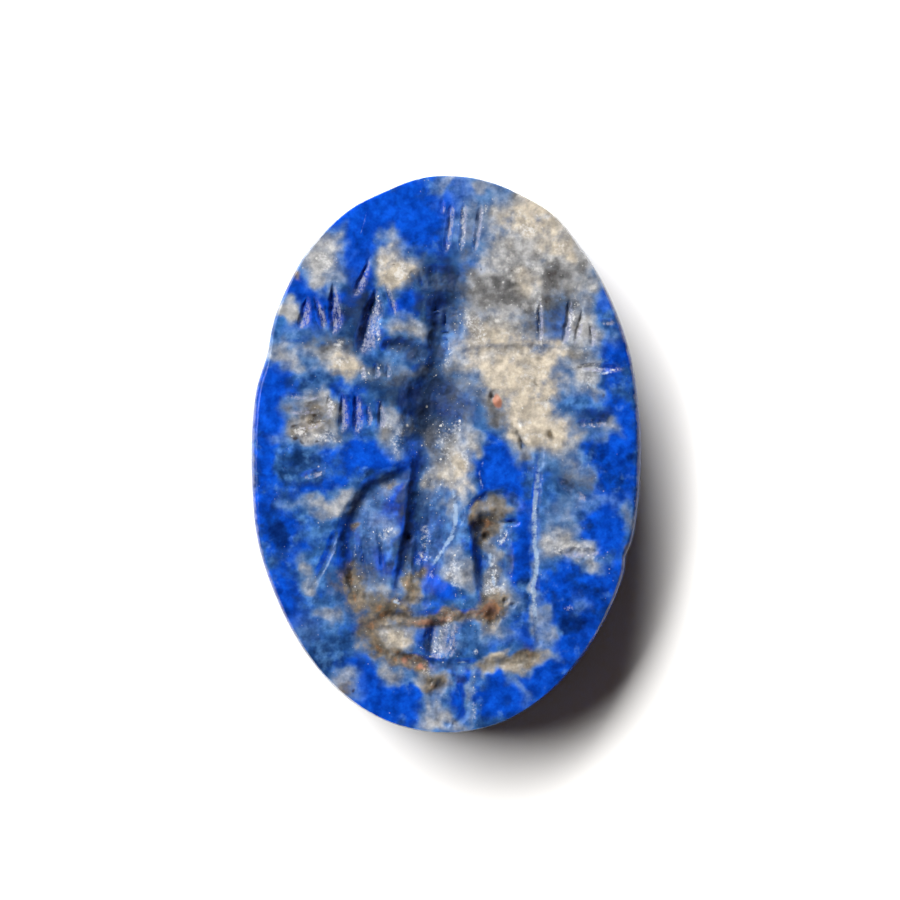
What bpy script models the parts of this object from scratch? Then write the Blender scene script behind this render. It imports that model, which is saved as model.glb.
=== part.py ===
"""An oval lapis lazuli ring stone, engraved in intaglio, lying face up on its flat back.

The stone is one solid. Its outline is a superellipse with a few worn places, its edge is a
stack of rings (a ground bevel, an upright side, a bevel round the back), and its picture is
cut into the flat face by passes of an engraver's wheel. Each pass is one groove: a start, an
end, a width and a depth, on a straight or a smoothly bent path.
"""

import math
from collections import namedtuple

import bmesh
import bpy
import numpy as np

MM = 0.001

# Driving dimensions of the stone, in millimetres.
LENGTH = 18.0
WIDTH = 12.6
THICKNESS = 3.0
ROUNDNESS = 2.08
FACE_BEVEL_SIDES = 0.20
FACE_BEVEL_ENDS = 0.05
FACE_BEVEL_DROP = 0.14
SIDE_BULGE = 0.05
GIRDLE_HEIGHT = 2.3
SIDE_FOOT_HEIGHT = 0.30
SIDE_FOOT_INSET = 0.10
BACK_BEVEL = 0.45

# Higher keeps the crease sharper where two passes of the wheel cross.
CROSSING_WEAR = 4

# How the surface is meshed.
EDGE_RINGS = 4
GRID_STEPS = 210
TRIANGLES_KEPT = 9600

# Places where the outline leaves the superellipse: (angle in degrees from +X, height, half spread).
WORN_PLACES = (
    (28.0, 0.03, 10.0),
    (65.5, 0.10, 5.5),
    (103.0, -0.10, 6.0),
    (125.0, 0.04, 6.0),
    (151.0, -0.13, 7.0),
    (205.0, 0.07, 12.0),
    (298.0, -0.05, 15.0),
    (330.5, -0.09, 2.5),
)

Groove = namedtuple("Groove", "path width depth lean run soft flare keel")


def groove(path, width, depth, lean=0.0, run=0.3, soft=1.6, flare=0.0, keel=2.0):
    """One pass of the wheel along a smooth path, in millimetres on the face.

    lean moves the deepest line to the left of the travel (-1 to 1), run is the share of the
    length that keeps full depth before the ends rise, soft over 1 wears the edge where the
    hollow meets the face, flare widens the pass towards its end, and keel shapes its floor,
    from 1 for a sharp V to 2 for a round one.
    """
    return Groove(path, width, depth, lean, run, soft, flare, keel)


def drilled(centre, width, depth, height=None):
    """A round or oval hollow, made by a ball-ended drill held still."""
    half = (height or width) / 2
    x, y = centre
    return groove(((x, y + half), (x, y - half)), width, depth, run=0.0)


def headdress():
    """Three upright plumes over the head, and a tick beside them."""
    plumes = ((0.20, -0.02, 0.34), (0.60, 0.46, 0.30), (1.14, 0.90, 0.28))
    cuts = []
    for top, foot, width in plumes:
        cuts.append(groove(((top, 8.15), (foot, 6.40)), width, 0.16, run=0.5, keel=1.3))
    cuts.append(groove(((-0.14, 8.20), (-0.08, 7.70)), 0.20, 0.12))
    return cuts


def head():
    """A round face under a roll of hair: brow, nose and chin at thirds, eyes one eye apart."""
    hairline = 5.16
    third = 0.53
    brow = hairline - third
    nose_foot = brow - third
    chin = nose_foot - third
    cuts = [
        groove(((-1.20, 5.48), (-0.30, 5.62), (0.86, 5.42)), 1.06, 0.27, lean=0.3, run=0.2, soft=1.8),
        groove(((0.0, hairline + 0.30), (0.0, chin - 0.22)), 1.40, 0.37, run=0.25, soft=1.6),
        groove(((0.0, brow), (0.0, nose_foot)), 0.20, 0.46),
        drilled((0.0, nose_foot + 0.08), 0.30, 0.46),
        groove(((-0.19, nose_foot - 0.19), (0.19, nose_foot - 0.19)), 0.17, 0.43),
        groove(((-0.12, chin + 0.12), (0.12, chin + 0.12)), 0.32, 0.38),
    ]
    for side in (-1, 1):
        cuts.append(drilled((side * 0.25, brow - 0.14), 0.30, 0.42, height=0.22))
        cuts.append(groove(((side * 0.11, brow + 0.02), (side * 0.43, brow - 0.03)), 0.15, 0.41))
        cuts.append(groove(((side * 0.32, brow - 0.25), (side * 0.26, chin + 0.2)), 0.56, 0.31, soft=1.8))
    for lock in range(6):
        across = -0.90 + 0.27 * lock
        cuts.append(groove(((across, 5.96), (across * 0.72 + 0.02, 5.24)), 0.26, 0.235))
    return cuts


def arms():
    """Two arms held straight out, the left one ending in a fist."""
    return [
        groove(((-2.06, 3.46), (-1.20, 3.32), (0.00, 3.00)), 0.84, 0.28, lean=0.25, run=0.5),
        drilled((-1.84, 3.46), 0.64, 0.31),
        groove(((0.36, 3.14), (1.80, 3.32), (3.80, 3.28)), 0.48, 0.16, lean=0.3, run=0.6, soft=1.3),
        groove(((-4.20, 3.34), (-3.25, 3.48)), 0.50, 0.13),
        groove(((-5.50, 3.54), (-4.50, 3.56)), 0.28, 0.12),
    ]


def torso():
    """The chest and waist, broad round hollows that run together, and the belt at the right."""
    waist = ((-0.44, 3.05), (-0.74, 1.60), (-0.74, 0.30), (-0.70, -0.70))
    return [
        groove(((-0.14, 4.30), (-0.30, 2.10)), 1.00, 0.42, lean=-0.3),
        groove(((-0.10, 3.60), (-0.06, 1.60), (-0.16, -1.10)), 2.50, 0.48, lean=-0.4, run=0.2, soft=2.0),
        groove(waist, 1.74, 0.54, lean=-0.15, soft=2.0),
        groove(((1.35, 1.50), (1.90, 1.45), (2.45, 0.45), (2.86, -0.95)), 0.42, 0.13, run=0.6),
        drilled((2.46, 0.38), 0.42, 0.17, height=0.74),
        drilled((1.52, 1.84), 0.34, 0.16, height=0.50),
    ]


def cloak():
    """The cloak that swings out on the left, a steep outer wall and a floor that rises inward."""
    hem = ((-0.90, 0.00), (-1.45, -0.68), (-2.14, -1.02), (-2.72, -1.60), (-3.10, -2.40), (-3.12, -3.90))
    floor = ((-1.10, -0.70), (-2.05, -1.75), (-2.42, -3.10), (-2.30, -5.10))
    return [
        groove(hem, 0.84, 0.31, lean=0.1, run=0.5),
        groove(floor, 2.20, 0.36, lean=-0.5, run=0.2, soft=1.7),
        groove(((-3.02, -3.10), (-3.02, -4.50)), 0.46, 0.32),
        groove(((-2.76, -2.40), (-2.62, -3.40), (-2.50, -4.30)), 0.36, 0.34),
        groove(((-2.30, -1.90), (-2.06, -3.00), (-1.98, -4.20)), 0.40, 0.30),
    ]


def skirt():
    """The long middle fold of the dress, with its steep left edge."""
    edge = ((-1.00, 0.60), (-0.92, -0.40), (-0.98, -1.60), (-1.18, -2.90), (-1.50, -4.20), (-1.62, -4.72))
    return [
        groove(((-0.10, 1.90), (-0.18, -2.20), (-0.46, -5.15)), 2.16, 0.44, lean=-0.6, run=0.3, soft=1.8),
        groove(edge, 0.70, 0.39, run=0.6),
        drilled((-1.20, -2.68), 0.46, 0.60),
        groove(((-1.60, -4.72), (-0.45, -4.80)), 0.54, 0.30),
    ]


def right_leg():
    """The bent knee and shin at the right, down to a drilled heel."""
    return [
        groove(((0.80, -2.05), (1.20, -1.58), (1.90, -1.48), (2.60, -1.88)), 0.72, 0.27, lean=0.4),
        groove(((1.58, -1.45), (1.62, -5.00)), 1.34, 0.37, lean=-0.6, run=0.4, soft=1.7),
        groove(((0.86, -1.90), (1.06, -2.60), (1.14, -3.60), (1.26, -4.70)), 0.64, 0.39, run=0.5),
        groove(((1.55, -2.22), (2.40, -2.18)), 0.28, 0.22),
        drilled((1.28, -2.68), 0.56, 0.56),
        drilled((1.50, -5.25), 0.56, 0.58, height=0.82),
        drilled((1.88, -4.70), 0.28, 0.24),
        drilled((2.13, -4.86), 0.26, 0.20),
    ]


def footing():
    """Two ground lines joined by a short stem, and a ring under the lower one."""
    cuts = [
        groove(((-2.40, -5.30), (-0.40, -5.20), (1.80, -5.24)), 0.48, 0.22, run=0.7),
        groove(((-0.06, -5.20), (-0.20, -6.66)), 1.30, 0.32, lean=-0.4, run=0.5),
        groove(((-0.36, -5.30), (-0.50, -6.60)), 0.34, 0.38, run=0.6),
        groove(((0.20, -5.40), (0.06, -6.40)), 0.24, 0.28, run=0.6),
        groove(((-2.15, -6.30), (-0.80, -6.68), (1.20, -6.80), (3.30, -6.34)), 0.54, 0.20, run=0.6),
        drilled((-0.20, -7.48), 0.52, 0.20, height=0.48),
    ]
    for side in (-1, 1):
        turns = [math.radians(90 + side * step) for step in range(0, 181, 45)]
        arc = tuple((0.18 + 0.50 * math.cos(turn), -7.90 + 0.80 * math.sin(turn)) for turn in turns)
        cuts.append(groove(arc, 0.42, 0.14, run=0.9, soft=1.3))
    return cuts


def staffs():
    """The long thin staff at the right and the short one that leans at the left."""
    return [
        groove(((3.05, 0.45), (2.86, -2.90), (3.00, -6.30)), 0.30, 0.12, run=0.9, soft=1.2),
        groove(((-3.46, -2.35), (-3.88, -3.45), (-4.45, -4.55)), 0.32, 0.14, run=0.6),
    ]


def side_strokes():
    """Rows of plain strokes that fill the field on both sides. They spell nothing."""
    # Each stroke is (top, foot, width, depth). It widens to the foot and is steeper on its left.
    strokes = (
        ((-4.42, 5.10), (-4.62, 3.94), 0.46, 0.18),
        ((-4.24, 5.12), (-3.82, 3.94), 0.34, 0.17),
        ((-3.60, 5.66), (-3.52, 3.70), 0.50, 0.24),
        ((-2.38, 6.38), (-2.94, 4.96), 0.36, 0.16),
        ((-2.02, 5.70), (-1.54, 4.40), 0.26, 0.10),
        ((-2.14, 5.46), (-2.58, 3.04), 0.86, 0.32),
        ((-2.70, 2.95), (-2.66, 2.38), 0.26, 0.14),
        ((-2.24, 2.95), (-2.18, 2.40), 0.30, 0.16),
        ((-1.90, 2.98), (-1.80, 2.42), 0.24, 0.14),
        ((-3.78, 1.95), (-3.72, 1.10), 0.34, 0.16),
        ((-3.32, 2.05), (-3.26, 0.62), 0.40, 0.24),
        ((-2.86, 2.05), (-2.80, 0.60), 0.40, 0.24),
        ((-2.50, 1.65), (-2.42, 0.85), 0.26, 0.11),
        ((-2.08, 1.80), (-2.02, 0.70), 0.36, 0.18),
        ((3.02, 5.15), (3.06, 3.48), 0.26, 0.13),
        ((4.04, 5.08), (3.82, 3.40), 0.34, 0.18),
        ((4.48, 4.80), (4.14, 3.42), 0.26, 0.14),
        ((4.66, 4.30), (4.78, 3.40), 0.34, 0.14),
    )
    dashes = (
        ((-5.24, 1.88), (-3.96, 1.82), 0.28, 0.13),
        ((-5.14, 1.36), (-4.01, 1.40), 0.28, 0.12),
        ((-4.90, 0.88), (-3.90, 0.98), 0.36, 0.17),
        ((4.06, 2.82), (5.80, 2.74), 0.36, 0.15),
        ((4.92, 4.26), (5.48, 4.24), 0.28, 0.12),
        ((4.10, 0.98), (5.30, 1.02), 0.36, 0.13),
        ((3.55, -0.74), (4.55, -1.56), 0.44, 0.14),
        ((3.50, -3.15), (5.04, -3.16), 0.44, 0.18),
        ((-4.68, -0.74), (-3.84, -0.52), 0.36, 0.12),
    )
    cuts = []
    for top, foot, width, depth in strokes:
        cuts.append(groove((top, foot), width, depth, lean=-0.35, flare=0.5, keel=1.3))
    cuts.extend(groove((left, right), width, depth, keel=1.4) for left, right, width, depth in dashes)
    return cuts


def rim_chip():
    """The chip out of the right edge of the face."""
    return [groove(((6.22, -2.80), (6.02, -3.95)), 0.44, 0.42)]


def engraving():
    cuts = []
    for figure_part in (headdress, head, arms, torso, cloak, skirt, right_leg):
        cuts.extend(figure_part())
    for setting in (footing, staffs, side_strokes, rim_chip):
        cuts.extend(setting())
    return cuts


def smooth_path(points, steps=8):
    """Points along a smooth curve through the given ones (a Catmull-Rom spline)."""
    if len(points) == 2:
        return np.array(points, float)
    knots = np.array([points[0], *points, points[-1]], float)
    t = np.arange(steps)[:, None] / steps
    pieces = []
    for a, b, c, d in zip(knots, knots[1:], knots[2:], knots[3:]):
        curve = 2 * b + (c - a) * t + (2 * a - 5 * b + 4 * c - d) * t**2
        pieces.append((curve + (3 * b - a - 3 * c + d) * t**3) / 2)
    return np.vstack([*pieces, knots[-1:]])


def depth_of(cut, x, y):
    """How deep one pass goes at the points x, y: zero outside it."""
    path = smooth_path(cut.path)
    lengths = np.hypot(*np.diff(path, axis=0).T)
    travelled = np.concatenate([[0], np.cumsum(lengths)])
    nearest = np.full_like(x, np.inf)
    across = np.zeros_like(x)
    along = np.zeros_like(x)
    for start, end, length, before in zip(path, path[1:], lengths, travelled):
        ux, uy = (end - start) / length
        ahead = (x - start[0]) * ux + (y - start[1]) * uy
        ahead = np.clip(ahead, 0, length)
        off_x = x - start[0] - ahead * ux
        off_y = y - start[1] - ahead * uy
        distance = np.hypot(off_x, off_y)
        closer = distance < nearest
        nearest = np.where(closer, distance, nearest)
        side = np.sign(off_y * ux - off_x * uy)
        across = np.where(closer, side * distance, across)
        along = np.where(closer, before + ahead, along)
    along = 2 * along / travelled[-1] - 1
    half = cut.width / 2 * (1 + cut.flare * along)
    across = across / half - cut.lean
    slope = np.where(across > 0, across / (1 - cut.lean), -across / (1 + cut.lean))
    tip = np.clip((np.abs(along) - cut.run) / (1 - cut.run), 0, None)
    reach = slope**cut.keel + tip**2
    return cut.depth * np.clip(1 - reach, 0, None) ** cut.soft


def engraved_depth(x, y):
    """Depth of the engraving at each point of the arrays x and y, crossings worn smooth."""
    total = np.zeros_like(x)
    for cut in engraving():
        path = np.array(cut.path)
        low = path.min(axis=0) - cut.width
        high = path.max(axis=0) + cut.width
        near = (x > low[0]) & (x < high[0]) & (y > low[1]) & (y < high[1])
        total[near] += depth_of(cut, x[near], y[near]) ** CROSSING_WEAR
    return total ** (1 / CROSSING_WEAR)


def outline_radius(angle):
    """Distance from the middle of the stone to its widest edge, towards an angle."""
    across = np.abs(np.cos(angle) / (WIDTH / 2)) ** ROUNDNESS
    along = np.abs(np.sin(angle) / (LENGTH / 2)) ** ROUNDNESS
    radius = (across + along) ** (-1 / ROUNDNESS)
    for place, height, spread in WORN_PLACES:
        turn = np.degrees(angle) - place
        turn = (turn + 180) % 360 - 180
        radius = radius + height * np.exp(-((turn / spread) ** 2))
    return radius


def bevel_width(angle):
    """The ground bevel round the face is wide at the sides and almost nothing at the ends."""
    return FACE_BEVEL_ENDS + (FACE_BEVEL_SIDES - FACE_BEVEL_ENDS) * np.cos(angle) ** 2


def edge_rings(angle):
    """The rings under the face's rim, top to bottom: (radius, height) pairs."""
    radius = outline_radius(angle)
    shoulder = THICKNESS - FACE_BEVEL_DROP
    return (
        (radius - SIDE_BULGE, shoulder),
        (radius, GIRDLE_HEIGHT),
        (radius - SIDE_FOOT_INSET, SIDE_FOOT_HEIGHT),
        (radius - BACK_BEVEL, 0.0),
    )


def face_points(u, v):
    """Maps a square grid, -1 to 1, onto the face, and cuts the engraving into it."""
    disc_x = u * np.sqrt(1 - v**2 / 2)
    disc_y = v * np.sqrt(1 - u**2 / 2)
    x = disc_x * WIDTH / 2
    y = disc_y * LENGTH / 2
    angle = np.arctan2(y, x)
    ellipse = 1 / np.hypot(np.cos(angle) / (WIDTH / 2), np.sin(angle) / (LENGTH / 2))
    rim = outline_radius(angle) - bevel_width(angle)
    stretch = 1 + (rim / ellipse - 1) * (disc_x**2 + disc_y**2)
    x = x * stretch
    y = y * stretch
    return x, y, THICKNESS - engraved_depth(x, y)


def place_ring(verts, level):
    """Moves one ring of the edge to its radius and height, or down to the bottom of a cut."""
    angle = np.array([math.atan2(vert.co.y, vert.co.x) for vert in verts])
    radius, height = edge_rings(angle)[level]
    x = radius * np.cos(angle)
    y = radius * np.sin(angle)
    z = np.minimum(height, THICKNESS - engraved_depth(x, y))
    for vert, *place in zip(verts, x, y, z):
        vert.co = place


def make_gem_mesh():
    shape = bmesh.new()
    bmesh.ops.create_grid(shape, x_segments=GRID_STEPS, y_segments=GRID_STEPS, size=1.0)
    places = np.array([vert.co[:] for vert in shape.verts])
    x, y, z = face_points(places[:, 0], places[:, 1])
    for vert, *place in zip(shape.verts, x, y, z):
        vert.co = place
    rim = [edge for edge in shape.edges if edge.is_boundary]
    for level in range(EDGE_RINGS):
        extruded = bmesh.ops.extrude_edge_only(shape, edges=rim)["geom"]
        rim = [item for item in extruded if isinstance(item, bmesh.types.BMEdge)]
        rim = [edge for edge in rim if edge.is_boundary]
        place_ring(list({vert for edge in rim for vert in edge.verts}), level)
    bmesh.ops.edgeloop_fill(shape, edges=rim)
    bmesh.ops.scale(shape, vec=(MM, MM, MM), verts=shape.verts)
    bmesh.ops.triangulate(shape, faces=[face for face in shape.faces if len(face.verts) < 5])
    bmesh.ops.recalc_face_normals(shape, faces=shape.faces)
    mesh = bpy.data.meshes.new("engraved_gem")
    shape.to_mesh(mesh)
    shape.free()
    return mesh


def lapis():
    """Deep blue lapis lazuli with a dull polish."""
    material = bpy.data.materials.new("lapis_lazuli")
    material.use_nodes = True
    shader = material.node_tree.nodes["Principled BSDF"]
    shader.inputs["Base Color"].default_value = (0.03, 0.11, 0.52, 1.0)
    shader.inputs["Roughness"].default_value = 0.42
    shader.inputs["Metallic"].default_value = 0.0
    material.diffuse_color = (0.03, 0.11, 0.52, 1.0)
    return material


def clear_scene():
    for item in list(bpy.data.objects):
        bpy.data.objects.remove(item, do_unlink=True)


def build():
    clear_scene()
    collection = bpy.data.collections.new("engraved_gem")
    bpy.context.scene.collection.children.link(collection)
    mesh = make_gem_mesh()
    mesh.materials.append(lapis())
    gem = bpy.data.objects.new("engraved_gem", mesh)
    collection.objects.link(gem)
    thinned = gem.modifiers.new("thinned", "DECIMATE")
    triangles = sum(len(face.vertices) - 2 for face in mesh.polygons)
    thinned.ratio = TRIANGLES_KEPT / triangles
    mesh.shade_smooth()
    mesh.set_sharp_from_angle(angle=math.radians(35))


build()
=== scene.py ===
import math
from collections import namedtuple

import bmesh
import bpy
import numpy as np
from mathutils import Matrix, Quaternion, Vector, noise


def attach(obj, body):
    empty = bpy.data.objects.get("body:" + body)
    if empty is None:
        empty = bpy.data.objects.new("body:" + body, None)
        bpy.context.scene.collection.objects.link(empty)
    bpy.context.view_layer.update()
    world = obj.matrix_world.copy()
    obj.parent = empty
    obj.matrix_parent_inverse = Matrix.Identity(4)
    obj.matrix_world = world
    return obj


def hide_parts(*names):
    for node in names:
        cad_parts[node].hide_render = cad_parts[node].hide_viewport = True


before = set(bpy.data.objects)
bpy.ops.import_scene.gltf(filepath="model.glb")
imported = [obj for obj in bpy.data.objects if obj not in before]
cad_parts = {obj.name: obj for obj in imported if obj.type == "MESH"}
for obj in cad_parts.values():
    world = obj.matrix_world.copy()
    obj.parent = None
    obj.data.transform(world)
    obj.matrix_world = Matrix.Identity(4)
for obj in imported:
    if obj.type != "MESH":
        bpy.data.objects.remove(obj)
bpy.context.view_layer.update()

# ------------------------------
# The gem: an oval ring stone of lapis lazuli, deep blue with clouds of grey and cream calcite.
# Its back is flat and its edge ground square; the picture was cut into the flat face with small
# wheels and a ball-ended drill, so everything on it is a hollow. It lies loose on its back.
# ------------------------------
MM = 0.001
LENGTH = 18.0
WIDTH = 12.6
THICKNESS = 3.0
ROUNDNESS = 2.08
FACE_BEVEL_SIDES = 0.2
FACE_BEVEL_ENDS = 0.05
FACE_BEVEL_DROP = 0.14
SIDE_BULGE = 0.05
GIRDLE_HEIGHT = 2.3
SIDE_FOOT_HEIGHT = 0.3
SIDE_FOOT_INSET = 0.1
BACK_BEVEL = 0.45

# Higher keeps the crease sharper where two passes of the wheel cross.
CROSSING_WEAR = 4

# Places where the outline leaves the superellipse: (angle in degrees from +X, height, half spread).
WORN_PLACES = (
    (28.0, 0.03, 10.0), (65.5, 0.1, 5.5), (103.0, -0.1, 6.0), (125.0, 0.04, 6.0), (151.0, -0.13, 7.0),
    (205.0, 0.07, 12.0), (298.0, -0.05, 15.0), (330.5, -0.09, 2.5),
)

Groove = namedtuple("Groove", "path width depth lean run soft flare keel")


def groove(path, width, depth, lean=0.0, run=0.3, soft=1.6, flare=0.0, keel=2.0):
    """One pass of the wheel along a smooth path, in millimetres on the face.

    lean moves the deepest line to the left of the travel (-1 to 1), run is the share of the
    length that keeps full depth before the ends rise, soft over 1 wears the edge where the
    hollow meets the face, flare widens the pass towards its end, and keel shapes its floor,
    from 1 for a sharp V to 2 for a round one.
    """
    return Groove(path, width, depth, lean, run, soft, flare, keel)


def drilled(centre, width, depth, height=None):
    """A round or oval hollow, made by a ball-ended drill held still."""
    half = (height or width) / 2
    x, y = centre
    return groove(((x, y + half), (x, y - half)), width, depth, run=0.0)


def headdress():
    """Three upright plumes over the head, and a tick beside them."""
    plumes = ((0.2, -0.02, 0.34), (0.6, 0.46, 0.3), (1.14, 0.9, 0.28))
    cuts = []
    for top, foot, width in plumes:
        cuts.append(groove(((top, 8.15), (foot, 6.4)), width, 0.16, run=0.5, keel=1.3))
    cuts.append(groove(((-0.14, 8.2), (-0.08, 7.7)), 0.2, 0.12))
    return cuts


def head():
    """A round face under a roll of hair: brow, nose and chin at thirds, eyes one eye apart."""
    hairline = 5.16
    third = 0.53
    brow = hairline - third
    nose_foot = brow - third
    chin = nose_foot - third
    cuts = [
        groove(((-1.2, 5.48), (-0.3, 5.62), (0.86, 5.42)), 1.06, 0.27, lean=0.3, run=0.2, soft=1.8),
        groove(((0.0, hairline + 0.3), (0.0, chin - 0.22)), 1.4, 0.37, run=0.25, soft=1.6),
        groove(((0.0, brow), (0.0, nose_foot)), 0.2, 0.46),
        drilled((0.0, nose_foot + 0.08), 0.3, 0.46),
        groove(((-0.19, nose_foot - 0.19), (0.19, nose_foot - 0.19)), 0.17, 0.43),
        groove(((-0.12, chin + 0.12), (0.12, chin + 0.12)), 0.32, 0.38),
    ]
    for side in (-1, 1):
        cuts.append(drilled((side * 0.25, brow - 0.14), 0.3, 0.42, height=0.22))
        cuts.append(groove(((side * 0.11, brow + 0.02), (side * 0.43, brow - 0.03)), 0.15, 0.41))
        cuts.append(groove(((side * 0.32, brow - 0.25), (side * 0.26, chin + 0.2)), 0.56, 0.31, soft=1.8))
    for lock in range(6):
        across = -0.9 + 0.27 * lock
        cuts.append(groove(((across, 5.96), (across * 0.72 + 0.02, 5.24)), 0.26, 0.235))
    return cuts


def arms():
    """Two arms held straight out, the left one ending in a fist."""
    return [
        groove(((-2.06, 3.46), (-1.2, 3.32), (0.0, 3.0)), 0.84, 0.28, lean=0.25, run=0.5),
        drilled((-1.84, 3.46), 0.64, 0.31),
        groove(((0.36, 3.14), (1.8, 3.32), (3.8, 3.28)), 0.48, 0.16, lean=0.3, run=0.6, soft=1.3),
        groove(((-4.2, 3.34), (-3.25, 3.48)), 0.5, 0.13),
        groove(((-5.5, 3.54), (-4.5, 3.56)), 0.28, 0.12),
    ]


def torso():
    """The chest and waist, broad round hollows that run together, and the belt at the right."""
    waist = ((-0.44, 3.05), (-0.74, 1.6), (-0.74, 0.3), (-0.7, -0.7))
    return [
        groove(((-0.14, 4.3), (-0.3, 2.1)), 1.0, 0.42, lean=-0.3),
        groove(((-0.1, 3.6), (-0.06, 1.6), (-0.16, -1.1)), 2.5, 0.48, lean=-0.4, run=0.2, soft=2.0),
        groove(waist, 1.74, 0.54, lean=-0.15, soft=2.0),
        groove(((1.35, 1.5), (1.9, 1.45), (2.45, 0.45), (2.86, -0.95)), 0.42, 0.13, run=0.6),
        drilled((2.46, 0.38), 0.42, 0.17, height=0.74),
        drilled((1.52, 1.84), 0.34, 0.16, height=0.5),
    ]


def cloak():
    """The cloak that swings out on the left, a steep outer wall and a floor that rises inward."""
    hem = ((-0.9, 0.0), (-1.45, -0.68), (-2.14, -1.02), (-2.72, -1.6), (-3.1, -2.4), (-3.12, -3.9))
    floor = ((-1.1, -0.7), (-2.05, -1.75), (-2.42, -3.1), (-2.3, -5.1))
    return [
        groove(hem, 0.84, 0.31, lean=0.1, run=0.5),
        groove(floor, 2.2, 0.36, lean=-0.5, run=0.2, soft=1.7),
        groove(((-3.02, -3.1), (-3.02, -4.5)), 0.46, 0.32),
        groove(((-2.76, -2.4), (-2.62, -3.4), (-2.5, -4.3)), 0.36, 0.34),
        groove(((-2.3, -1.9), (-2.06, -3.0), (-1.98, -4.2)), 0.4, 0.3),
    ]


def skirt():
    """The long middle fold of the dress, with its steep left edge."""
    edge = ((-1.0, 0.6), (-0.92, -0.4), (-0.98, -1.6), (-1.18, -2.9), (-1.5, -4.2), (-1.62, -4.72))
    return [
        groove(((-0.1, 1.9), (-0.18, -2.2), (-0.46, -5.15)), 2.16, 0.44, lean=-0.6, run=0.3, soft=1.8),
        groove(edge, 0.7, 0.39, run=0.6),
        drilled((-1.2, -2.68), 0.46, 0.6),
        groove(((-1.6, -4.72), (-0.45, -4.8)), 0.54, 0.3),
    ]


def right_leg():
    """The bent knee and shin at the right, down to a drilled heel."""
    return [
        groove(((0.8, -2.05), (1.2, -1.58), (1.9, -1.48), (2.6, -1.88)), 0.72, 0.27, lean=0.4),
        groove(((1.58, -1.45), (1.62, -5.0)), 1.34, 0.37, lean=-0.6, run=0.4, soft=1.7),
        groove(((0.86, -1.9), (1.06, -2.6), (1.14, -3.6), (1.26, -4.7)), 0.64, 0.39, run=0.5),
        groove(((1.55, -2.22), (2.4, -2.18)), 0.28, 0.22),
        drilled((1.28, -2.68), 0.56, 0.56),
        drilled((1.5, -5.25), 0.56, 0.58, height=0.82),
        drilled((1.88, -4.7), 0.28, 0.24),
        drilled((2.13, -4.86), 0.26, 0.2),
    ]


def footing():
    """Two ground lines joined by a short stem, and a ring under the lower one."""
    cuts = [
        groove(((-2.4, -5.3), (-0.4, -5.2), (1.8, -5.24)), 0.48, 0.22, run=0.7),
        groove(((-0.06, -5.2), (-0.2, -6.66)), 1.3, 0.32, lean=-0.4, run=0.5),
        groove(((-0.36, -5.3), (-0.5, -6.6)), 0.34, 0.38, run=0.6),
        groove(((0.2, -5.4), (0.06, -6.4)), 0.24, 0.28, run=0.6),
        groove(((-2.15, -6.3), (-0.8, -6.68), (1.2, -6.8), (3.3, -6.34)), 0.54, 0.2, run=0.6),
        drilled((-0.2, -7.48), 0.52, 0.2, height=0.48),
    ]
    for side in (-1, 1):
        turns = [math.radians(90 + side * step) for step in range(0, 181, 45)]
        arc = tuple((0.18 + 0.5 * math.cos(turn), -7.9 + 0.8 * math.sin(turn)) for turn in turns)
        cuts.append(groove(arc, 0.42, 0.14, run=0.9, soft=1.3))
    return cuts


def staffs():
    """The long thin staff at the right and the short one that leans at the left."""
    return [
        groove(((3.05, 0.45), (2.86, -2.9), (3.0, -6.3)), 0.3, 0.12, run=0.9, soft=1.2),
        groove(((-3.46, -2.35), (-3.88, -3.45), (-4.45, -4.55)), 0.32, 0.14, run=0.6),
    ]


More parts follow.
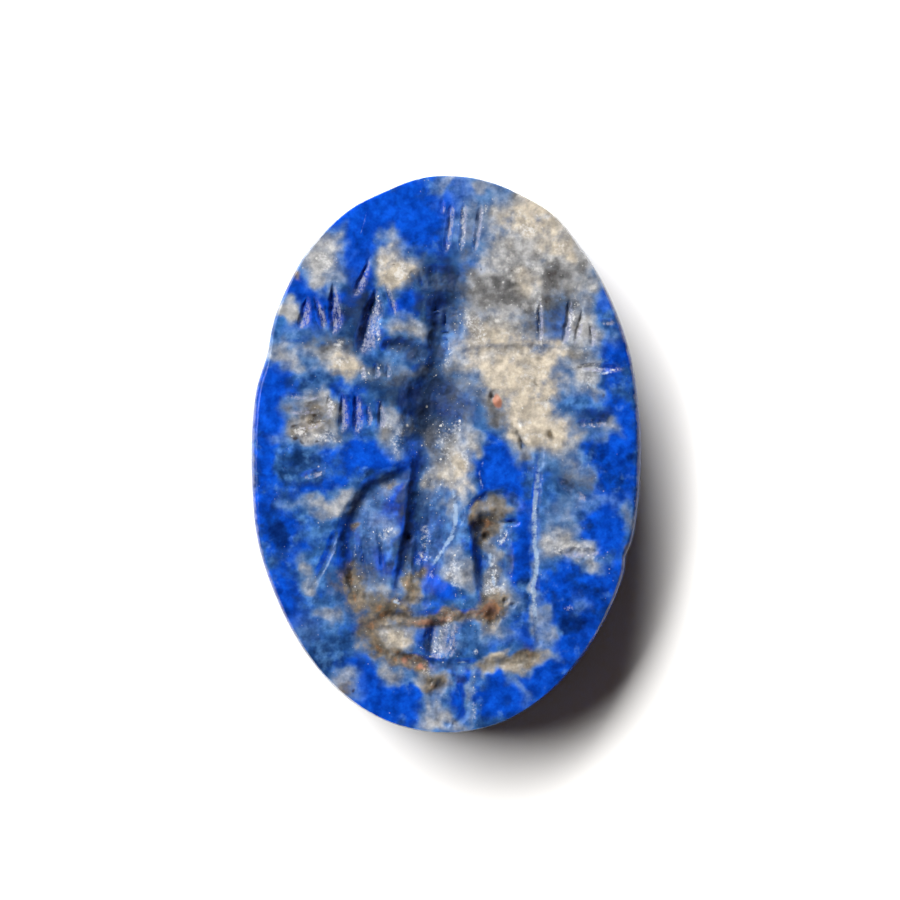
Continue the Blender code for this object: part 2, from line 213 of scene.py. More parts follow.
def side_strokes():
    """Rows of plain strokes that fill the field on both sides. They spell nothing."""
    # Each stroke is (top, foot, width, depth). It widens to the foot and is steeper on its left.
    strokes = (
        ((-4.42, 5.1), (-4.62, 3.94), 0.46, 0.18), ((-4.24, 5.12), (-3.82, 3.94), 0.34, 0.17),
        ((-3.6, 5.66), (-3.52, 3.7), 0.5, 0.24), ((-2.38, 6.38), (-2.94, 4.96), 0.36, 0.16),
        ((-2.02, 5.7), (-1.54, 4.4), 0.26, 0.1), ((-2.14, 5.46), (-2.58, 3.04), 0.86, 0.32),
        ((-2.7, 2.95), (-2.66, 2.38), 0.26, 0.14), ((-2.24, 2.95), (-2.18, 2.4), 0.3, 0.16),
        ((-1.9, 2.98), (-1.8, 2.42), 0.24, 0.14), ((-3.78, 1.95), (-3.72, 1.1), 0.34, 0.16),
        ((-3.32, 2.05), (-3.26, 0.62), 0.4, 0.24), ((-2.86, 2.05), (-2.8, 0.6), 0.4, 0.24),
        ((-2.5, 1.65), (-2.42, 0.85), 0.26, 0.11), ((-2.08, 1.8), (-2.02, 0.7), 0.36, 0.18),
        ((3.02, 5.15), (3.06, 3.48), 0.26, 0.13), ((4.04, 5.08), (3.82, 3.4), 0.34, 0.18),
        ((4.48, 4.8), (4.14, 3.42), 0.26, 0.14), ((4.66, 4.3), (4.78, 3.4), 0.34, 0.14),
    )
    dashes = (
        ((-5.24, 1.88), (-3.96, 1.82), 0.28, 0.13), ((-5.14, 1.36), (-4.01, 1.4), 0.28, 0.12),
        ((-4.9, 0.88), (-3.9, 0.98), 0.36, 0.17), ((4.06, 2.82), (5.8, 2.74), 0.36, 0.15),
        ((4.92, 4.26), (5.48, 4.24), 0.28, 0.12), ((4.1, 0.98), (5.3, 1.02), 0.36, 0.13),
        ((3.55, -0.74), (4.55, -1.56), 0.44, 0.14), ((3.5, -3.15), (5.04, -3.16), 0.44, 0.18),
        ((-4.68, -0.74), (-3.84, -0.52), 0.36, 0.12),
    )
    upright = [groove(ends, width, depth, -0.35, flare=0.5, keel=1.3) for *ends, width, depth in strokes]
    return upright + [groove(ends, width, depth, keel=1.4) for *ends, width, depth in dashes]


def rim_chip():
    """The chip out of the right edge of the face."""
    return [groove(((6.22, -2.8), (6.02, -3.95)), 0.44, 0.42)]


def engraving():
    figure = (headdress, head, arms, torso, cloak, skirt, right_leg)
    return [cut for part in (*figure, footing, staffs, side_strokes, rim_chip) for cut in part()]


def smooth_path(points, steps=8):
    """Points along a smooth curve through the given ones (a Catmull-Rom spline)."""
    if len(points) == 2:
        return np.array(points, float)
    knots = np.array([points[0], *points, points[-1]], float)
    t = np.arange(steps)[:, None] / steps
    pieces = []
    for a, b, c, d in zip(knots, knots[1:], knots[2:], knots[3:]):
        curve = 2 * b + (c - a) * t + (2 * a - 5 * b + 4 * c - d) * t**2
        pieces.append((curve + (3 * b - a - 3 * c + d) * t**3) / 2)
    return np.vstack([*pieces, knots[-1:]])


def depth_of(cut, x, y):
    """How deep one pass goes at the points x, y: zero outside it."""
    path = smooth_path(cut.path)
    lengths = np.hypot(*np.diff(path, axis=0).T)
    travelled = np.concatenate([[0], np.cumsum(lengths)])
    nearest = np.full_like(x, np.inf)
    across = np.zeros_like(x)
    along = np.zeros_like(x)
    for start, end, length, before in zip(path, path[1:], lengths, travelled):
        ux, uy = (end - start) / length
        ahead = np.clip((x - start[0]) * ux + (y - start[1]) * uy, 0, length)
        off_x = x - start[0] - ahead * ux
        off_y = y - start[1] - ahead * uy
        distance = np.hypot(off_x, off_y)
        closer = distance < nearest
        nearest = np.where(closer, distance, nearest)
        side = np.sign(off_y * ux - off_x * uy)
        across = np.where(closer, side * distance, across)
        along = np.where(closer, before + ahead, along)
    along = 2 * along / travelled[-1] - 1
    half = cut.width / 2 * (1 + cut.flare * along)
    across = across / half - cut.lean
    slope = np.where(across > 0, across / (1 - cut.lean), -across / (1 + cut.lean))
    tip = np.clip((np.abs(along) - cut.run) / (1 - cut.run), 0, None)
    reach = slope**cut.keel + tip**2
    return cut.depth * np.clip(1 - reach, 0, None) ** cut.soft


def engraved_depth(x, y):
    """Depth of the engraving at each point of the arrays x and y, crossings worn smooth."""
    total = np.zeros_like(x)
    for cut in engraving():
        path = np.array(cut.path)
        low = path.min(axis=0) - cut.width
        high = path.max(axis=0) + cut.width
        near = (x > low[0]) & (x < high[0]) & (y > low[1]) & (y < high[1])
        total[near] += depth_of(cut, x[near], y[near]) ** CROSSING_WEAR
    return total ** (1 / CROSSING_WEAR)


def outline_radius(angle):
    """Distance from the middle of the stone to its widest edge, towards an angle."""
    across = np.abs(np.cos(angle) / (WIDTH / 2)) ** ROUNDNESS
    along = np.abs(np.sin(angle) / (LENGTH / 2)) ** ROUNDNESS
    radius = (across + along) ** (-1 / ROUNDNESS)
    for place, height, spread in WORN_PLACES:
        turn = (np.degrees(angle) - place + 180) % 360 - 180
        radius = radius + height * np.exp(-((turn / spread) ** 2))
    return radius


def bevel_width(angle):
    """The ground bevel round the face is wide at the sides and almost nothing at the ends."""
    return FACE_BEVEL_ENDS + (FACE_BEVEL_SIDES - FACE_BEVEL_ENDS) * np.cos(angle) ** 2


def edge_rings(angle):
    """The rings under the face's rim, top to bottom: (radius, height) pairs."""
    radius = outline_radius(angle)
    shoulder = THICKNESS - FACE_BEVEL_DROP
    return (
        (radius - SIDE_BULGE, shoulder),
        (radius, GIRDLE_HEIGHT),
        (radius - SIDE_FOOT_INSET, SIDE_FOOT_HEIGHT),
        (radius - BACK_BEVEL, 0.0),
    )


def tone(x, y, size, layer, z=None):
    """Natural unevenness, about -1 to 1, in soft lumps of the given size in mm."""
    level = np.zeros_like(x) if z is None else z
    spots = zip(x / size, y / size, level / size + layer * 7.3)
    return np.array([noise.noise(Vector(spot)) for spot in spots])


def fine_depth(x, y):
    """Hair lines that the graver left inside the hollows, cut below what is there."""
    lines = (
        (((-0.3, 2.6), (-0.36, 1.2), (-0.44, 0.2)), 0.2, 0.02),
        (((0.3, 2.4), (0.36, 1.2), (0.26, 0.1)), 0.22, 0.018),
        (((-0.5, -0.6), (-0.56, -2.4), (-0.9, -4.5)), 0.2, 0.035),
        (((-0.1, 0.1), (-0.1, -2.2), (-0.42, -4.6)), 0.22, 0.028),
        (((0.32, -0.2), (0.38, -2.2), (0.1, -4.5)), 0.2, 0.022),
        (((-2.7, -1.9), (-2.92, -3.0), (-2.86, -4.3)), 0.22, 0.024),
        (((-2.2, -1.6), (-2.42, -2.8), (-2.36, -4.5)), 0.24, 0.022),
        (((-1.86, -1.6), (-1.9, -2.9), (-1.8, -4.4)), 0.22, 0.02),
        (((1.42, -2.5), (1.52, -3.6), (1.58, -4.4)), 0.12, 0.035),
        (((1.76, -2.4), (1.84, -3.4), (1.8, -4.3)), 0.12, 0.035),
        (((-2.52, 8.05), (-2.6, 7.6), (-2.76, 6.95)), 0.08, 0.012),
        (((-2.7, -3.0), (-2.86, -3.3), (-2.98, -3.55)), 0.1, 0.03), (((5.1, -4.2), (5.5, -4.4)), 0.1, 0.02),
        (((3.1, -3.2), (3.2, -4.6)), 0.08, 0.01), (((6.0, 1.84), (6.35, 1.88)), 0.1, 0.08),
        (((1.42, 1.5), (1.72, 1.1), (2.06, 0.7)), 0.14, 0.06),
        (((2.32, 0.8), (2.44, 0.42), (2.48, 0.05)), 0.22, 0.06),
    )
    return sum(depth_of(groove(*line), x, y) for line in lines)


def cloudy(x, y, places):
    """How strongly the given places show at each point: they join where they meet.

    A place is (middle x, middle y, half width, half height, strength) and, if turned, degrees.
    """
    clear = np.ones_like(x)
    for middle_x, middle_y, half_width, half_height, strength, *turn in places:
        cos_turn = math.cos(math.radians(sum(turn)))
        sin_turn = math.sin(math.radians(sum(turn)))
        across = (x - middle_x) * cos_turn + (y - middle_y) * sin_turn
        up = (y - middle_y) * cos_turn - (x - middle_x) * sin_turn
        spread = (across / half_width) ** 2 + (up / half_height) ** 2
        clear *= 1 - min(strength, 0.999) * np.exp(-(spread**1.25) * 0.65)
    return 1 - clear


def crumbled(x, y):
    """Knobs and crevices where soft grains broke out of the stone."""
    rough_places = (
        (-4.2, 0.75, 0.85, 0.5, 0.55), (-4.2, 1.5, 0.7, 0.45, 0.45), (4.2, -3.2, 0.75, 0.32, 0.7),
        (-1.45, -6.45, 0.8, 0.3, 0.6, -10), (1.5, -5.2, 0.4, 0.3, 0.6), (-1.2, -4.4, 0.5, 0.4, 0.45),
        (-0.4, -2.9, 0.4, 0.6, 0.35), (4.6, 3.9, 0.45, 0.6, 0.5), (-0.4, -7.4, 0.45, 0.26, 0.6, -20),
        (2.6, 5.8, 0.8, 0.6, 0.22),
    )
    turned_x = 0.8 * x + 0.6 * y + 0.05 * tone(x, y, 0.15, 12)
    turned_y = 0.8 * y - 0.6 * x + 0.05 * tone(x, y, 0.15, 13)
    crevice = np.clip(tone(turned_x, turned_y, 0.27, 10), 0, 0.5) + 0.3 * tone(turned_x, turned_y, 0.12, 11)
    return 0.14 * cloudy(x, y, rough_places) * np.clip(crevice, 0, 1)


def hand_cut(x, y):
    """The engraving as a hand leaves it: passes that waver, ground floors and a worn face."""
    rubbed_places = (
        (2.2, 3.26, 2.0, 0.4, 0.66), (-5.0, 3.56, 0.7, 0.3, 0.6), (-3.75, 3.42, 0.6, 0.36, 0.5),
        (-0.1, 5.0, 1.0, 1.3, 0.22), (-4.6, -0.6, 0.6, 0.4, 0.4), (-0.1, 5.62, 0.95, 0.4, 0.5),
        (0.2, -7.8, 1.0, 0.9, 0.58), (-0.3, -5.26, 1.9, 0.3, 0.66, 3), (2.94, -3.0, 0.26, 3.6, 0.72),
        (-1.05, -4.78, 0.75, 0.3, 0.5), (1.75, -1.45, 0.95, 0.48, 0.64), (-4.4, 1.2, 1.05, 0.95, 0.82),
        (-3.9, -3.6, 0.45, 1.3, 0.6, 22), (1.6, -6.7, 1.8, 0.3, 0.35, 8), (1.6, -5.05, 0.7, 0.5, 0.58),
        (-0.05, -6.0, 0.75, 0.8, 0.35), (0.16, -5.85, 0.14, 0.6, 0.8, 10), (-1.1, -4.25, 0.55, 0.75, 0.5),
        (0.3, -4.5, 0.7, 0.4, 0.4, -10), (-2.3, -3.3, 0.6, 1.2, 0.22), (-4.25, -4.2, 0.4, 0.6, 0.6, 22),
        (-1.3, -2.3, 0.36, 2.4, 0.3, -6), (-1.4, 3.4, 0.95, 0.5, 0.55, -8),
        (-1.05, 1.9, 0.55, 1.3, 0.5, -12), (-2.25, 2.68, 0.75, 0.45, 0.45), (4.2, -3.1, 0.8, 0.4, 0.6),
        (0.55, 7.3, 0.9, 1.0, 0.42), (4.7, 1.0, 0.8, 0.3, 0.45), (5.2, 4.25, 0.4, 0.25, 0.5),
    )
    waver = 0.05
    wander_x = x + waver * tone(x, y, 0.45, 1) + 0.7 * waver * tone(x, y, 0.17, 2)
    wander_y = y + waver * tone(x, y, 0.45, 3) + 0.7 * waver * tone(x, y, 0.17, 4)
    cut = engraved_depth(wander_x, wander_y)
    face_wear = cloudy(x, y, ((0.0, 4.5, 0.7, 0.8, 0.38),))
    reach = 0.1
    nearby = [engraved_depth(wander_x + side, wander_y) for side in (-reach, reach)]
    nearby += [engraved_depth(wander_x, wander_y + side) for side in (-reach, reach)]
    cut += face_wear * (sum(nearby) / 4 - cut)
    cut += fine_depth(wander_x, wander_y)
    ground = np.clip(cut / 0.1, 0, 1)
    wear = 0.6 + 0.4 * np.clip(cut / 0.3, 0, 1)
    depth = cut * wear * (1 + 0.12 * tone(x, y, 0.6, 5)) * (1 - cloudy(x, y, rubbed_places))
    depth += ground * (0.028 * tone(x, 0.4 * y, 0.22, 6) + 0.022 * tone(x, 0.5 * y, 0.11, 7))
    depth += 0.01 * (1 + tone(x, y, 1.6, 8)) + 0.005 * (1 + tone(x, y, 0.35, 9))
    return np.maximum(depth, 0.0) + crumbled(x, y)


# Clouds of calcite in the blue.
CALCITE_CLOUDS = (
    (-3.75, 6.9, 0.45, 0.45, 0.62), (-3.95, 6.1, 0.62, 0.6, 0.88), (-3.95, 5.55, 0.3, 0.36, 0.8),
    (-5.0, 4.65, 0.34, 0.34, 0.85), (-5.35, 3.15, 0.75, 0.5, 0.8), (-3.3, 5.8, 0.36, 0.4, 0.34),
    (-1.6, 5.95, 0.62, 0.66, 1.05), (-1.75, 7.0, 0.35, 0.25, 0.45), (-3.7, 3.35, 0.6, 0.36, 0.75),
    (-3.3, 2.8, 0.52, 0.42, 0.9), (-1.15, 3.95, 0.6, 0.38, 0.7, -10), (-2.5, 2.45, 0.5, 0.3, 0.45),
    (-1.6, 2.7, 0.45, 0.4, 0.34), (-4.6, 3.95, 0.7, 0.24, 0.22), (-4.3, 1.55, 0.62, 0.5, 0.62),
    (-4.15, 0.78, 0.8, 0.5, 0.76), (-3.72, 1.5, 0.2, 0.42, 0.7), (-1.7, 0.8, 0.42, 0.72, 0.72, 10),
    (-5.5, 0.5, 0.34, 0.3, 0.25), (-4.5, -0.45, 0.6, 0.2, 0.2), (-3.5, -1.6, 0.8, 0.36, 0.84, 5),
    (-4.9, -1.6, 0.6, 0.3, 0.28), (-4.3, -2.6, 0.5, 0.3, 0.15), (-0.35, 0.1, 0.46, 0.7, 0.52),
    (-0.15, -0.85, 0.5, 0.42, 0.75), (-1.0, 2.75, 0.4, 0.26, 0.46), (-1.0, 0.75, 0.26, 0.2, 0.5),
    (0.3, 2.0, 0.7, 0.7, 0.36), (0.45, 0.5, 0.36, 0.5, 0.55), (-1.7, -1.1, 0.45, 0.2, 0.4),
    (-1.95, -2.6, 0.3, 0.6, 0.28), (-4.55, -3.9, 0.42, 0.52, 0.7, 20), (-4.3, -4.35, 0.6, 0.2, 0.3, 10),
    (-2.6, -4.35, 0.6, 0.5, 0.6), (-1.1, -4.3, 0.46, 0.55, 0.92), (-3.7, -5.2, 0.3, 0.3, 0.5),
    (-2.0, -5.2, 0.8, 0.34, 0.7, -10), (-1.5, -6.0, 0.62, 0.42, 0.95), (-2.3, -6.1, 0.4, 0.5, 0.6),
    (-1.85, -6.9, 0.35, 0.35, 0.72), (-0.7, -7.2, 0.6, 0.28, 0.8, -15), (-3.4, -7.3, 0.5, 0.4, 0.5),
    (-0.25, -8.1, 0.32, 0.6, 0.55), (-0.1, -8.6, 0.8, 0.26, 0.6), (-4.5, -5.7, 0.8, 0.7, 0.26),
    (-3.1, -7.9, 0.7, 0.36, 0.26, 25), (0.5, -3.9, 0.34, 0.7, 0.64, 10), (0.3, -3.1, 0.3, 0.4, 0.45),
    (1.65, -1.75, 0.66, 0.3, 0.72), (1.25, -2.4, 0.3, 0.46, 0.55), (1.55, -3.5, 0.26, 0.8, 0.65),
    (1.55, -4.4, 0.46, 0.4, 0.72), (2.1, -4.8, 0.4, 0.3, 0.45), (4.2, -3.2, 0.8, 0.34, 0.78),
    (2.93, -4.0, 0.14, 1.9, 0.4), (3.1, -5.4, 0.3, 0.7, 0.48), (1.9, -6.82, 1.2, 0.22, 0.95, 8),
    (2.85, -6.52, 0.42, 0.26, 0.8, 10), (2.5, -7.4, 0.24, 0.5, 0.34, 10), (1.6, -5.9, 0.9, 0.4, 0.28),
    (0.75, -7.8, 0.18, 0.6, 0.45), (4.3, -4.8, 0.4, 0.3, 0.28), (1.5, -5.55, 0.5, 0.32, 0.55),
    (0.05, -5.85, 0.38, 0.6, 0.55), (2.55, 2.2, 1.15, 1.1, 1.15), (3.1, 0.75, 0.85, 0.5, 0.95),
    (3.85, 0.3, 0.42, 0.32, 0.65), (1.5, 2.45, 0.34, 0.4, 0.85), (1.6, 1.2, 0.34, 0.45, 0.55),
    (2.45, 0.25, 0.3, 0.5, 0.55, -20), (3.4, -0.3, 0.7, 0.35, 0.34), (4.25, -0.65, 0.36, 0.56, 0.44, 20),
    (3.8, -1.7, 0.6, 0.45, 0.36), (3.6, -2.45, 0.5, 0.45, 0.4), (5.1, -1.55, 0.8, 0.28, 0.28),
    (5.9, -1.95, 0.28, 0.6, 0.45), (4.7, 2.35, 0.42, 0.55, 0.85, 15), (4.4, 0.6, 0.4, 0.3, 0.22),
    (5.25, 0.8, 0.4, 0.22, 0.5), (0.5, -0.2, 0.45, 0.85, 0.85), (0.35, -1.6, 0.2, 0.7, 0.55),
    (0.3, 2.5, 0.9, 0.6, 0.14), (3.6, -2.9, 0.4, 0.28, 0.45), (3.2, 7.2, 1.1, 0.85, 1.1, -45),
    (2.6, 6.2, 1.1, 1.0, 1.0), (2.25, 7.85, 0.6, 0.62, 0.95), (3.0, 7.9, 0.5, 0.42, 1.1, -35),
    (3.9, 5.9, 0.8, 0.85, 0.95), (2.3, 5.2, 1.15, 0.8, 0.95), (1.2, 4.2, 0.8, 0.8, 0.8),
    (2.3, 4.0, 0.75, 0.7, 0.8), (1.8, 3.3, 1.4, 0.42, 0.8), (3.55, 3.2, 0.8, 0.34, 0.8),
    (4.35, 4.2, 0.5, 0.6, 0.75), (4.1, 6.9, 0.45, 0.5, 0.6, -45), (1.0, 8.8, 0.7, 0.18, 0.42),
    (1.75, 7.3, 0.34, 0.9, 0.48), (0.85, 7.1, 0.6, 0.85, 0.4), (0.9, 8.2, 0.9, 0.6, 0.32),
    (0.1, 8.75, 0.8, 0.2, 0.3), (1.0, 5.2, 0.45, 0.45, 0.45), (0.4, 2.95, 0.5, 0.3, 0.42),
    (4.65, 5.4, 0.36, 0.46, 0.65), (4.6, 3.9, 0.62, 0.75, 0.72), (2.9, 6.9, 0.6, 0.5, 0.9),
    (2.75, 1.7, 0.8, 0.9, 0.9), (-2.3, -2.3, 0.6, 1.1, 0.26), (-0.45, -1.8, 0.35, 1.5, 0.24),
)

# Where the calcite is stained a warm cream instead of a cool grey.
CREAM_PLACES = (
    (2.55, 2.1, 1.2, 1.1, 1.0), (3.2, 0.75, 0.9, 0.55, 0.9), (1.3, 3.6, 0.9, 0.7, 0.7),
    (3.0, 7.9, 0.7, 0.45, 1.0, -35), (-1.55, 5.9, 0.55, 0.6, 0.7), (-3.3, 2.85, 0.5, 0.4, 0.8),
    (-1.1, -4.35, 0.5, 0.5, 1.0), (1.9, -6.62, 1.2, 0.3, 0.9, 8), (0.55, -0.4, 0.45, 0.6, 0.7),
    (-0.2, -0.9, 0.6, 0.7, 0.6), (1.6, -1.7, 0.7, 0.4, 0.5), (-1.5, -6.05, 0.5, 0.3, 0.7),
    (3.6, 6.6, 0.5, 0.4, 0.7), (2.5, 7.4, 0.9, 0.6, 0.6), (2.5, 5.6, 0.5, 0.5, 0.5),
    (2.6, 3.2, 1.3, 0.45, 0.9), (-4.2, 1.0, 0.8, 0.7, 0.35),
)

# Where the blue is deepest and purest.
DEEP_PLACES = (
    (-1.8, 7.6, 1.9, 0.9, 1.0, -5), (-2.9, 6.2, 0.42, 0.9, 1.0, 10), (-4.7, 5.2, 0.34, 0.5, 0.9),
    (-4.0, 4.65, 0.7, 0.65, 1.0), (-1.2, 4.7, 0.42, 0.34, 0.8), (-5.5, 1.6, 0.55, 1.1, 1.0),
    (-3.1, 1.6, 0.34, 0.6, 0.8), (-2.3, -0.1, 1.2, 0.5, 0.9), (-5.9, -0.3, 0.3, 1.0, 0.8),
    (-1.35, -1.9, 0.34, 0.7, 0.9, 10), (-1.7, -2.15, 0.26, 0.36, 1.0), (-5.4, -2.4, 0.6, 0.9, 1.0, 20),
    (-4.2, -1.0, 0.8, 0.24, 0.6, 10), (1.7, -0.45, 0.65, 0.85, 1.0), (5.45, -0.2, 0.75, 1.7, 1.0),
    (2.75, -2.4, 0.3, 0.8, 0.9), (4.7, -2.4, 0.7, 0.4, 0.8), (4.2, -5.0, 1.1, 1.7, 1.0, -25),
    (1.9, -7.6, 0.75, 0.55, 1.0, 20), (0.35, -7.8, 0.22, 0.5, 0.9), (-2.0, -7.9, 1.2, 0.7, 1.0, -15),
    (-0.75, -5.8, 0.42, 0.42, 1.0), (3.3, -7.2, 0.6, 0.6, 0.9), (-5.2, -4.6, 0.34, 0.8, 0.6, 20),
    (-0.25, -4.3, 0.34, 0.45, 0.8), (3.5, 4.1, 0.46, 0.46, 1.0), (5.35, 3.3, 0.42, 0.6, 0.9),
    (5.15, 5.05, 0.24, 0.4, 0.8, 30), (-4.7, -5.6, 0.6, 0.6, 0.5), (-2.1, -3.5, 0.3, 0.5, 0.7),
    (0.1, 8.3, 0.5, 0.6, 0.7), (0.1, 1.6, 0.5, 0.5, 0.7), (-3.0, -7.0, 0.5, 0.4, 0.5),
    (2.4, -3.4, 0.34, 0.9, 0.8), (2.3, -5.9, 0.6, 0.3, 0.6), (1.0, 5.85, 0.34, 0.34, 0.7),
)

# Where the pure blue is brightest.
BRIGHT_PLACES = (
    (-2.4, 7.9, 1.6, 0.9, 1.0, -10), (-1.0, 7.4, 0.6, 0.8, 0.5), (-5.6, 1.7, 0.45, 1.0, 0.9),
    (-2.4, -0.05, 1.2, 0.45, 0.8, 10), (-5.3, 4.4, 0.6, 0.6, 0.8), (-1.6, 4.6, 0.5, 0.4, 0.6),
    (1.15, 5.85, 0.45, 0.45, 0.9), (1.85, -0.6, 0.5, 0.6, 0.7), (5.1, -2.6, 0.6, 1.2, 0.6),
    (5.6, 0.9, 0.4, 0.8, 0.6), (-5.8, -0.6, 0.3, 0.9, 0.7), (-0.25, -4.3, 0.3, 0.45, 0.9),
    (-2.3, -7.9, 1.1, 0.6, 0.6, -15), (3.6, -3.7, 0.4, 0.5, 0.6), (3.3, 4.2, 0.4, 0.4, 0.4),
    (-4.05, 6.05, 0.6, 0.6, 1.0), (-5.2, 4.5, 0.4, 0.5, 0.8), (-5.4, 3.15, 0.5, 0.4, 0.8),
    (-3.4, 2.9, 0.4, 0.3, 0.8), (0.7, 4.1, 0.4, 0.6, 0.8), (2.5, 7.2, 0.7, 0.6, 0.4),
    (0.2, 0.6, 0.4, 0.5, 0.5), (0.0, -8.5, 0.6, 0.4, 0.8), (-3.5, -1.6, 0.5, 0.3, 0.6),
    (2.0, -7.7, 0.5, 0.5, 0.5), (-2.2, -2.0, 0.45, 0.45, 0.9), (-2.9, 6.2, 0.35, 0.8, 0.6, 10),
    (2.2, -3.0, 0.4, 0.9, 0.5),
)

# Where the stone turns a dark grey-blue: dark grains under the surface, and in the hollows of the head,
# chest, arm, skirt and leg painted shade as well.
SLATE_PLACES = (
    (0.05, 5.6, 0.95, 0.6, 1.0), (0.0, 4.6, 0.6, 0.8, 0.6), (-0.5, 4.1, 0.28, 0.9, 0.75),
    (-0.8, 1.6, 0.6, 0.9, 0.75), (-0.5, 2.7, 0.7, 0.55, 0.6), (-1.3, 3.4, 0.75, 0.26, 0.75, -8),
    (-0.9, 6.2, 0.3, 0.5, 0.5), (3.42, 5.58, 0.5, 0.42, 1.5), (3.62, 4.86, 0.46, 0.36, 1.2),
    (1.6, 1.25, 0.34, 0.5, 0.8), (1.6, -1.8, 0.6, 0.34, 0.75), (1.1, 3.8, 0.7, 0.5, 0.45),
    (4.7, 1.1, 0.8, 0.36, 0.55), (4.2, -1.1, 0.42, 0.36, 0.6, -35), (-0.6, -2.1, 0.34, 0.8, 0.45),
    (0.3, 1.7, 0.9, 0.8, 0.6), (-0.2, 0.4, 0.6, 0.8, 1.0), (1.9, 5.2, 0.55, 0.36, 1.05),
    (1.2, 4.95, 0.45, 0.5, 0.8), (2.9, 4.3, 0.6, 0.5, 0.8), (-1.3, -3.4, 0.34, 0.6, 0.45),
    (2.45, 0.1, 0.3, 0.6, 0.5, -20), (2.5, 3.35, 1.1, 0.2, 0.5), (-3.9, 3.55, 0.6, 0.3, 0.6),
    (-3.0, 4.8, 0.45, 0.8, 0.75), (-2.95, 3.8, 0.45, 0.5, 0.7), (-1.7, 4.95, 0.3, 0.5, 0.45),
    (-2.2, 2.4, 0.7, 0.6, 0.6), (-1.6, 1.9, 0.5, 0.6, 0.75), (3.8, -0.6, 0.6, 0.4, 0.5),
    (-3.4, 0.95, 0.5, 0.4, 0.6), (-4.4, 1.3, 0.7, 0.5, 0.6), (-4.6, -0.9, 0.8, 0.2, 0.4),
    (-2.9, -4.0, 0.6, 0.6, 0.75), (-1.8, -5.0, 0.8, 0.3, 0.65), (-1.2, -2.2, 0.24, 1.4, 0.85, -6),
    (4.6, -5.8, 0.8, 1.0, 0.22, -25), (-2.4, -2.8, 0.5, 0.8, 0.15), (0.6, 6.6, 0.7, 0.4, 0.4),
    (1.7, -3.4, 0.4, 0.9, 0.5),
)

# Brown earth and rust that settled in the lower cuts.
EARTH_PLACES = (
    (-3.0, -4.15, 0.44, 0.6, 0.85, 10), (-1.1, -4.2, 0.42, 0.5, 0.85), (-2.3, -4.85, 0.9, 0.34, 0.78, -5),
    (-0.1, -5.29, 1.35, 0.19, 1.15, 3), (1.45, -5.1, 0.4, 0.5, 1.1), (1.6, -4.6, 0.4, 0.34, 0.6),
    (-1.9, -5.36, 0.9, 0.3, 0.75, -4), (-2.45, -5.9, 0.34, 0.6, 0.75, 20), (-1.6, -6.5, 0.7, 0.2, 1.0, -15),
    (-0.85, -6.82, 0.36, 0.2, 1.1, -10), (-0.4, -7.4, 0.4, 0.26, 0.8, -20), (1.9, -6.8, 1.2, 0.2, 0.55, 8),
    (2.8, -6.4, 0.4, 0.26, 0.7), (1.3, -2.45, 0.32, 0.46, 0.9), (1.6, -1.74, 0.66, 0.3, 0.52),
    (0.98, -2.0, 0.14, 0.4, 0.7), (-0.7, -3.85, 0.3, 0.2, 0.7, 30), (-4.15, 1.14, 0.5, 0.26, 0.5),
    (-4.6, 0.7, 0.26, 0.26, 0.45), (-2.9, -2.3, 0.2, 0.16, 0.75), (-1.6, -1.05, 0.26, 0.12, 0.6),
    (3.25, 0.65, 0.18, 0.14, 0.75), (-1.2, 5.6, 0.2, 0.4, 0.5), (-3.3, -7.6, 0.4, 0.2, 0.6, 30),
    (2.9, 8.2, 0.5, 0.16, 0.55, -35), (-4.85, 5.8, 0.16, 0.2, 0.6), (6.0, -3.4, 0.2, 0.4, 0.85),
    (0.55, -0.3, 0.24, 0.2, 0.4), (-3.5, 2.5, 0.3, 0.16, 0.5),
)

# Small dark marks, and the few salmon-pink grains.
DARK_MARKS = (
    (1.48, 1.88, 0.09, 0.12, 0.9), (2.95, 2.32, 0.06, 0.14, 0.7, 30), (3.3, 1.74, 0.05, 0.15, 0.8, -20),
    (3.46, 1.76, 0.04, 0.13, 0.7, -15), (5.05, 1.87, 0.06, 0.1, 0.7), (-1.24, -2.7, 0.12, 0.26, 0.45, 10),
    (1.48, -5.22, 0.16, 0.22, 0.6), (-2.92, -7.56, 0.06, 0.06, 0.9), (-4.76, 0.88, 0.11, 0.07, 0.9),
    (-4.45, 1.52, 0.16, 0.05, 0.7, 5), (-4.02, 0.45, 0.09, 0.06, 0.9, 10), (-4.3, 1.2, 0.12, 0.07, 0.9),
    (-4.7, 0.54, 0.09, 0.07, 0.9), (-4.36, 0.5, 0.05, 0.05, 0.8), (-4.05, 1.06, 0.14, 0.05, 0.8),
    (-4.55, 0.42, 0.08, 0.08, 0.7), (2.02, 5.82, 0.06, 0.06, 0.8), (1.22, 5.92, 0.05, 0.05, 0.7),
    (6.04, -3.1, 0.1, 0.14, 0.9), (-0.85, 5.95, 0.06, 0.06, 0.7), (-1.2, 5.85, 0.05, 0.16, 0.7),
    (1.34, -2.62, 0.16, 0.18, 0.55), (2.6, 5.9, 0.05, 0.05, 0.7), (3.85, 4.75, 0.05, 0.05, 0.8),
    (2.1, 4.2, 0.04, 0.06, 0.6), (2.72, 6.02, 0.05, 0.05, 0.6), (3.3, 4.95, 0.05, 0.04, 0.7),
    (2.62, 8.1, 0.05, 0.05, 0.7), (-1.75, 6.15, 0.05, 0.05, 0.7), (-1.95, 5.95, 0.04, 0.04, 0.6),
    (-0.2, -7.5, 0.2, 0.18, 0.6), (3.42, 5.62, 0.24, 0.16, 0.6),
)
SALMON_GRAINS = (
    (1.66, 1.7, 0.15, 0.24, 0.95, 10), (-1.36, -6.62, 0.16, 0.12, 0.6), (-0.8, -6.84, 0.12, 0.1, 0.7),
)

